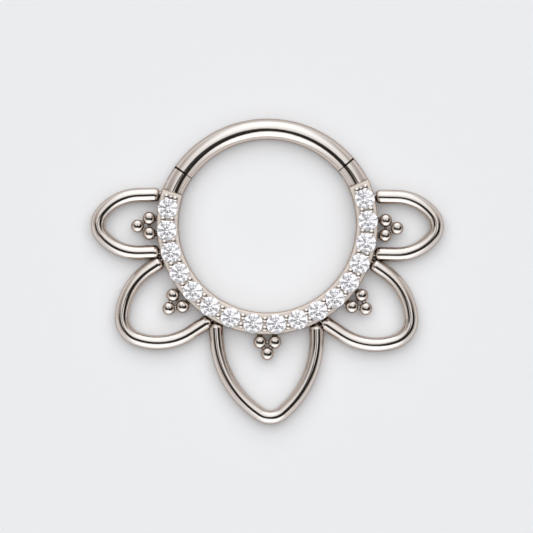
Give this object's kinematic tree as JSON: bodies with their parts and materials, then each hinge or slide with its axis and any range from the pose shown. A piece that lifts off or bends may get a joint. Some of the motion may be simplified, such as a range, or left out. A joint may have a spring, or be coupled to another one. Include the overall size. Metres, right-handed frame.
{
  "type": "hinged clicker ring",
  "caption": "Hinged wire clicker ring for a piercing, its band set with a row of brilliants and edged with open wire petals and clusters of small balls.",
  "frame": {"origin": "on the axis of the ring, level with the back of the band that it lies on", "axes": "+Z out of the front with the stones, +Y from the middle of the band to the arc that opens, +X to the right seen from the front"},
  "size_m": [0.0202, 0.0174, 0.0017],
  "materials": {
    "metal": "polished",
    "stone": "clear cut"
  },
  "bodies": {
    "ring": {"setting_ring": "metal", "hinge_pin": "metal", "stone_01": "stone", "stone_02": "stone", "stone_03": "stone", "stone_04": "stone", "stone_05": "stone", "stone_06": "stone", "stone_07": "stone", "stone_08": "stone", "stone_09": "stone", "stone_10": "stone", "stone_11": "stone", "stone_12": "stone", "stone_13": "stone", "stone_14": "stone", "stone_15": "stone", "stone_16": "stone", "stone_17": "stone"},
    "arc": {"hinged_arc": "metal"}
  },
  "joints": [
    {"name": "arc_hinge", "type": "hinge", "parent": "ring", "child": "arc", "pos_m": [-0.00536, 0.00257, 0.00062], "axis": [0, 0, 1], "range_deg": [0, 90]}
  ]
}
